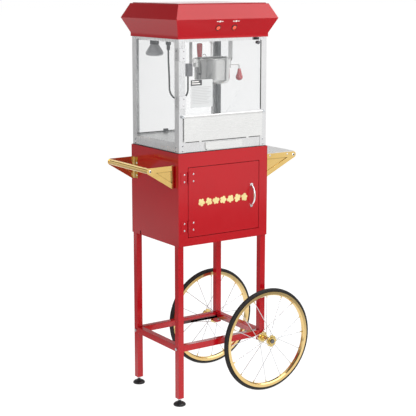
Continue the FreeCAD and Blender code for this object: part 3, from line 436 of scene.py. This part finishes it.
def make_tyre(name, end):
    """Round tyre with three running grooves and cut shoulders."""
    low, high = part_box(name + "_tyre")
    centre = (low + high) / 2
    section = (high.y - low.y) / 2
    ring_radius = (high.z - low.z) / 2 - section
    around, across = 216, 40
    groove_turns, groove_half_width, groove_depth = (-0.38, 0.0, 0.38), 0.08, 0.7 * MM
    shoulder_start, shoulder_end, cut_depth = 0.55, 0.95, 0.6 * MM
    work = bmesh.new()
    rings = []
    for step in range(around):
        ring = []
        for side in range(across):
            turn = 2 * math.pi * side / across
            tilt = math.atan2(math.sin(turn), math.cos(turn))
            depth = 0.0
            if min(abs(tilt - groove) for groove in groove_turns) < groove_half_width:
                depth = groove_depth
            elif shoulder_start < abs(tilt) < shoulder_end and step % 3 == 0:
                depth = cut_depth
            reach = section - depth
            ring.append(work.verts.new(wheel_point(centre, end, ring_radius + reach * math.cos(turn),
                                                   2 * math.pi * step / around, reach * math.sin(turn))))
        rings.append(ring)
    for near, far in zip(rings, rings[1:] + rings[:1]):
        for side in range(across):
            after = (side + 1) % across
            work.faces.new((near[side], near[after], far[after], far[side]))
    bmesh.ops.recalc_face_normals(work, faces=work.faces)
    add_piece(name + "_tyre_treaded", work, TYRE, name + "_wheel", (name + "_tyre",), 30.0)


def make_nipples(name, end):
    """Brass nipple where each spoke meets the rim."""
    low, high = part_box(name + "_rim")
    centre = (low + high) / 2
    count = 16
    spoke_lean = math.radians(62)
    seat_radius, hub_radius = 185.5 * MM, 20 * MM
    seat_offset, hub_offset = 2.9 * MM, 30 * MM
    nipple_radius, nipple_length = 2.6 * MM, 9 * MM
    work = bmesh.new()
    for k in range(count):
        side = 1 if k % 2 else -1
        at_rim = 2 * math.pi * k / count
        at_hub = at_rim + (spoke_lean if (k // 2) % 2 == 1 else -spoke_lean)
        seat = wheel_point(centre, end, seat_radius, at_rim, side * seat_offset)
        hub = wheel_point(centre, end, hub_radius, at_hub, side * hub_offset)
        add_disc(work, seat, (hub - seat).normalized(), nipple_radius, nipple_length, 0.75, 12)
    add_piece(name + "_nipples", work, BRASS, name + "_wheel")


for wheel, wheel_end in (("front", -1), ("rear", 1)):
    make_tyre(wheel, wheel_end)
    make_nipples(wheel, wheel_end)


# ---- cabinet door ----
door_low, door_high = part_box("cabinet_door")
door_pin = Vector(JOINTS["cabinet_door_hinge"]["pos_m"])
DOOR_HINGE_HEIGHTS = (0.728, 0.921)
LEAF_THICKNESS = 1.5 * MM


def make_motif():
    """Row of plain popcorn blossoms, in place of lettering."""
    work = bmesh.new()
    middle = Vector(((door_low.x + door_high.x) / 2 - 5 * MM, door_low.y,
                     (door_low.z + door_high.z) / 2 - 4 * MM))
    pitch = 34.5 * MM
    thickness = 1.2 * MM
    heart, petal_reach = 8 * MM, 9.5 * MM
    for index in range(-3, 4):
        spot = middle + Vector((index * pitch, 0, 0))
        add_dome(work, spot, (heart, thickness, heart))
        for lobe in range(5):
            turn = 2 * math.pi * lobe / 5 + 0.9 * index
            size = (6.4 + 1.2 * math.sin(3 * lobe + index)) * MM
            offset = Vector((math.cos(turn), 0, math.sin(turn))) * petal_reach
            add_dome(work, spot + offset, (size, thickness * 0.8, size))
    bmesh.ops.bisect_plane(work, geom=work.verts[:] + work.edges[:] + work.faces[:], plane_co=middle,
                           plane_no=(0, 1, 0), clear_outer=True)
    add_piece("door_motif", work, PRINT_GOLD, "cabinet_door")


def make_hinge_screws():
    """Two domed screws in each leaf of the cabinet door's butt hinges."""
    leaf_face = door_low.y - LEAF_THICKNESS
    head_radius, head_rise = 3.6 * MM, 1.4 * MM
    rows = (("hinge_screws_fixed", "cart", -18 * MM), ("hinge_screws_door", "cabinet_door", 24 * MM))
    for name, body, offset in rows:
        work = bmesh.new()
        for height in DOOR_HINGE_HEIGHTS:
            for step in (-14 * MM, 14 * MM):
                add_disc(work, (door_pin.x + offset, leaf_face, height + step), (0, -1, 0),
                         head_radius, head_rise, 0.6)
        add_piece(name, work, ZINC, body)


make_motif()
make_hinge_screws()


# ---- popper case ----
post_low, post_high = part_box("corner_posts")
glass_low, glass_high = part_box("glass_door")
GLASS_HINGE_HEIGHTS = (1.2165, 1.398)
POST_LEG = 30 * MM


def make_case_seam():
    """Dark seam round the foot of the case."""
    proud = 0.8 * MM
    work = bmesh.new()
    low = Vector((post_low.x - proud, post_low.y - proud, post_low.z + 0.1 * MM))
    high = Vector((post_high.x + proud, post_high.y + proud, post_low.z + 2.2 * MM))
    for x in ((low.x, low.x + proud), (high.x - proud, high.x)):
        add_box(work, (x[0], low.y, low.z), (x[1], high.y, high.z))
    for y in ((low.y, low.y + proud), (high.y - proud, high.y)):
        add_box(work, (low.x + proud, y[0], low.z), (high.x - proud, y[1], high.z))
    add_piece("case_seam", work, GASKET_AND_GAP_SHADE, "cart")


def make_pane_strips():
    """Rubber strip at the left rear post, beads at the right rear post, strip under the rear pane."""
    pane_low, pane_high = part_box("fixed_panes")
    pane_thickness, gap = 2.5 * MM, 0.1 * MM
    skin = pane_thickness + gap
    strip, bead, bead_depth = 8 * MM, 1.5 * MM, 1 * MM
    foot, head = pane_low.z + 1 * MM, pane_high.z - 1 * MM
    bead_x, bead_y = post_high.x - POST_LEG, post_high.y - POST_LEG
    work = bmesh.new()
    add_box(work, (pane_low.x + skin, pane_high.y - 11 * MM, foot),
            (pane_low.x + skin + strip, pane_high.y - skin, head))
    add_box(work, (bead_x - bead, pane_high.y - skin - bead_depth, foot),
            (bead_x, pane_high.y - skin, head))
    add_box(work, (pane_high.x - skin - bead_depth, bead_y - bead, foot),
            (pane_high.x - skin, bead_y, head))
    add_box(work, (pane_low.x + strip, pane_high.y - 6 * MM, foot),
            (pane_high.x - strip, pane_high.y - skin, pane_low.z + 5 * MM))
    add_piece("pane_strips", work, GASKET_AND_GAP_SHADE, "cart")


def make_sill_gap_shade():
    """Painted shade: a dark strip on the sill, standing in for the shadowed gap under the serving panel.
    """
    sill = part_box("base_rails")[1].z
    inset = POST_LEG + 1 * MM
    work = bmesh.new()
    add_box(work, (post_low.x + inset, post_low.y + 0.5 * MM, sill + 0.1 * MM),
            (post_high.x - inset, post_low.y + 3.5 * MM, sill + 3.8 * MM))
    # The strip is painted shade for the gap, not a part of its own.
    add_piece("sill_gap_shade", work, GASKET_AND_GAP_SHADE, "cart")


def make_glass_edge():
    """Dark strip on the free edge of the front glass."""
    proud = 0.2 * MM
    work = bmesh.new()
    add_box(work, (glass_high.x - 2.2 * MM, glass_low.y - proud, glass_low.z + 1 * MM),
            (glass_high.x + proud, glass_high.y + proud, glass_high.z - 1 * MM))
    add_piece("glass_edge", work, GASKET_AND_GAP_SHADE, "glass_door")


def make_card():
    """Generic ruled card with a dark header, stuck on the glass."""
    face = glass_low.y
    paper = 0.2 * MM
    left = glass_low.x + 50.5 * MM
    right = left + 102 * MM
    low = glass_low.z + 25 * MM
    high = low + 107 * MM
    layers = [("card", CARD, "white_plastic", 0.0, [((left, low), (right, high))]),
              ("card_header", INK_AND_RECESS_SHADE, "black_plastic", paper,
               [((left + 1 * MM, high - 22 * MM), (left + 52 * MM, high - 1 * MM))])]
    bars = [((left + 6 * MM, high - 9 * MM), (left + 38 * MM, high - 5 * MM)),
            ((left + 6 * MM, high - 17 * MM), (left + 44 * MM, high - 13 * MM))]
    layers.append(("card_bars", PRINT_WHITE, "white_plastic", 2 * paper, bars))
    rules = []
    for row in range(11):
        z = high - (30 + 6.2 * row) * MM
        rules.append(((left + 6 * MM, z), (right - (8 + 9 * (row % 3)) * MM, z + 1.6 * MM)))
    layers.append(("card_rules", RULES, "grey_plastic", paper, rules))
    for name, material, slot, raised, patches in layers:
        work = bmesh.new()
        for near, far in patches:
            add_box(work, (near[0], face - raised - paper, near[1]), (far[0], face - raised, far[1]))
        add_piece(name, work, material, "glass_door")


def make_recess_shade():
    """Painted shade: dark discs for the shaded driver recesses in the screws of the case, the glass
    hinges and the bracket tips.
    """
    radius, door_radius, depth = 2.2 * MM, 1.7 * MM, 0.7 * MM
    rise = 1.25 * MM
    front_inset, front_heights = 16.5 * MM, (9 * MM, 29 * MM)
    side_inset, side_heights = 20.5 * MM, (7 * MM, 22 * MM)
    post_leaf, door_leaf = 14.5 * MM, 17.5 * MM
    screw_step = 13 * MM
    leaf_head = LEAF_THICKNESS + 1.1 * MM
    work = bmesh.new()
    for side, x in ((-1, post_low.x), (1, post_high.x)):
        for end, y in ((-1, post_low.y), (1, post_high.y)):
            for height in front_heights:
                add_disc(work, (x - side * front_inset, y + end * rise, post_low.z + height), (0, end, 0),
                         radius, depth)
            for height in side_heights:
                add_disc(work, (x + side * rise, y - end * side_inset, post_low.z + height), (side, 0, 0),
                         radius, depth)
    for height in GLASS_HINGE_HEIGHTS:
        for step in (-screw_step, screw_step):
            add_disc(work, (post_low.x - leaf_head, post_low.y + post_leaf, height + step), (-1, 0, 0),
                     radius, depth)
    bar_low, bar_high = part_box("cross_bars")
    bar_radius = 11 * MM
    tip_radius, tip_rise = 3.4 * MM, 3.7 * MM
    tips = ((bar_low.x + bar_radius, bar_low.z + bar_radius),
            (bar_high.x - bar_radius, bar_high.z - bar_radius))
    for x, z in tips:
        for end, y in ((-1, bar_low.y), (1, bar_high.y)):
            add_disc(work, (x, y + end * tip_rise, z), (0, end, 0), tip_radius, depth)
    # These discs are painted shade for the recesses.
    add_piece("screw_recess_shade", work, INK_AND_RECESS_SHADE, "cart")
    work = bmesh.new()
    for height in GLASS_HINGE_HEIGHTS:
        for step in (-screw_step, screw_step):
            add_disc(work, (glass_low.x + door_leaf, glass_low.y - leaf_head, height + step), (0, -1, 0),
                     door_radius, depth)
    add_piece("door_screw_recess_shade", work, INK_AND_RECESS_SHADE, "glass_door")


make_case_seam()
make_pane_strips()
make_sill_gap_shade()
make_glass_edge()
make_card()
make_recess_shade()


# ---- canopy switches ----
def make_switch_marks():
    """A plain round mark between two bars above each switch."""
    band_edge = Vector((0, -0.1755, 1.471))
    ridge = Vector((0, -0.2075, 1.530))
    thickness = 0.3 * MM
    rise, dot_radius = 57 * MM, 4.2 * MM
    bar_offset, bar_length, bar_width = 10.5 * MM, 10 * MM, 3.2 * MM
    up = (ridge - band_edge).normalized()
    normal = Vector((0, -up.z, up.y)).normalized()
    work = bmesh.new()
    for rocker in ("light_rocker", "heat_rocker"):
        low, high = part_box(rocker)
        foot = Vector(((low.x + high.x) / 2, 0, 0)) + band_edge + up * rise
        add_disc(work, foot, normal, dot_radius, thickness)
        for side in (-1, 1):
            middle = foot + Vector((side * bar_offset, 0, 0)) + normal * thickness / 2
            turn = Matrix((Vector((1, 0, 0)), up, normal)).transposed().to_4x4()
            size = Matrix.Diagonal((bar_length, bar_width, thickness, 1))
            bmesh.ops.create_cube(work, size=1.0, matrix=Matrix.Translation(middle) @ turn @ size)
    add_piece("switch_marks", work, PRINT_WHITE, "cart")


# ---- kettle details ----
def make_lid_wire():
    """Bent wire catch beside the foot of the lid handle."""
    low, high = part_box("lid_handle")
    middle = Vector(((low.x + high.x) / 2 + 24 * MM, (low.y + high.y) / 2 + 2 * MM, low.z))
    half_span, rise = 10 * MM, 13 * MM
    steps = 16
    points = []
    for step in range(steps + 1):
        turn = math.pi * step / steps
        points.append(middle + Vector((half_span * math.cos(turn), 0, rise * math.sin(turn))))
    work = bmesh.new()
    add_tube(work, points, 1.3 * MM)
    add_piece("lid_wire", work, CHROME, "rear_lid")


make_switch_marks()
make_lid_wire()


# ---- stage ----
def make_world():
    """Studio surroundings: white round the horizon, falling to dark grey overhead."""
    world = bpy.data.worlds.new("studio")
    bpy.context.scene.world = world
    world.use_nodes = True
    tree = world.node_tree
    place = tree.nodes.new("ShaderNodeTexCoord")
    split = tree.nodes.new("ShaderNodeSeparateXYZ")
    fall = tree.nodes.new("ShaderNodeMapRange")
    fall.interpolation_type = "SMOOTHSTEP"
    fall.inputs["From Min"].default_value = 0.08
    fall.inputs["From Max"].default_value = 0.45
    fall.inputs["To Min"].default_value = 1.0
    fall.inputs["To Max"].default_value = 0.16
    background = tree.nodes["Background"]
    background.inputs["Color"].default_value = (1, 1, 1, 1)
    tree.links.new(place.outputs["Generated"], split.inputs["Vector"])
    tree.links.new(split.outputs["Z"], fall.inputs["Value"])
    tree.links.new(fall.outputs["Result"], background.inputs["Strength"])


def add_ground(name, height, material):
    """Wide level sheet of the stage."""
    half = 60.0
    corners = [(-half, -half, height), (half, -half, height), (half, half, height), (-half, half, height)]
    mesh = bpy.data.meshes.new(name)
    mesh.from_pydata(corners, [], [(0, 1, 2, 3)])
    mesh.materials.append(material)
    ground = bpy.data.objects.new(name, mesh)
    bpy.context.scene.collection.objects.link(ground)
    return ground


def make_floor():
    """Pale floor with light of its own, running into the white surroundings."""
    shader = Finish("studio_floor")
    shader.tone((0.22, 0.22, 0.22), (0.20, 0.20, 0.20), 0.5)
    shader.set(Roughness=0.9, Specular_IOR_Level=0.0, Emission_Color=(1, 1, 1, 1), Emission_Strength=0.96)
    floor = add_ground("floor", 0.0, shader.material)
    floor.visible_glossy = False
    floor.visible_diffuse = False
    floor.visible_shadow = False


def make_reflection_cards():
    """What shiny faces mirror: a pale ground, darker far to the left and in two soft round spots."""
    spots = ((1.8, -2.2, 1.9), (-1.4, 1.2, 1.3))
    shader = Finish("reflection_cards")
    shader.tone((0.22, 0.22, 0.22), (0.20, 0.20, 0.20), 0.5)
    split = shader.node("ShaderNodeSeparateXYZ")
    shader.link(shader.place(), split.inputs["Vector"])
    glow = shader.spread(split.outputs["X"], 0.35, 0.96, -2.8, -0.9)
    for x, y, radius in spots:
        spot = shader.node("ShaderNodeMapping", Location=(-x / radius, -y / radius, 0),
                           Scale=(1 / radius, 1 / radius, 1))
        shader.link(shader.place(), spot.inputs["Vector"])
        gradient = shader.node("ShaderNodeTexGradient")
        gradient.gradient_type = "SPHERICAL"
        shader.link(spot.outputs["Vector"], gradient.inputs["Vector"])
        dimmed = shader.node("ShaderNodeMath")
        dimmed.operation = "MULTIPLY"
        shader.link(glow, dimmed.inputs[0])
        shader.link(shader.spread(gradient.outputs["Fac"], 1.0, 0.25, 0.0, 0.35), dimmed.inputs[1])
        glow = dimmed.outputs["Value"]
    shader.link(glow, shader.shader.inputs["Emission Strength"])
    shader.set(Roughness=0.9, Specular_IOR_Level=0.0, Emission_Color=(1, 1, 1, 1))
    cards = add_ground("reflection_cards", -1 * MM, shader.material)
    cards.visible_camera = False


def make_light(name, place, size, power, target):
    """Rectangular soft light aimed at a point."""
    data = bpy.data.lights.new(name, "AREA")
    data.shape = "RECTANGLE"
    data.size = size[0]
    data.size_y = size[1]
    data.energy = power
    light = bpy.data.objects.new(name, data)
    bpy.context.scene.collection.objects.link(light)
    light.location = place
    light.rotation_euler = (Vector(target) - Vector(place)).to_track_quat("-Z", "Y").to_euler()


make_world()
make_floor()
make_reflection_cards()
make_light("front", (-0.9, -3.6, 2.6), (1.6, 1.6), 60, (0, 0, 0.9))
make_light("canopy_box", (1.7, -1.5, 3.9), (4.0, 3.2), 110, (0, -0.2, 1.5))
make_light("side", (-3.4, 0.6, 2.2), (1.4, 1.4), 16, (0, 0, 0.9))
make_light("back", (0.1, 3.0, 2.8), (2.2, 1.1), 8, (-0.36, 0, 0.96))
bpy.context.scene.view_settings.view_transform = "Standard"
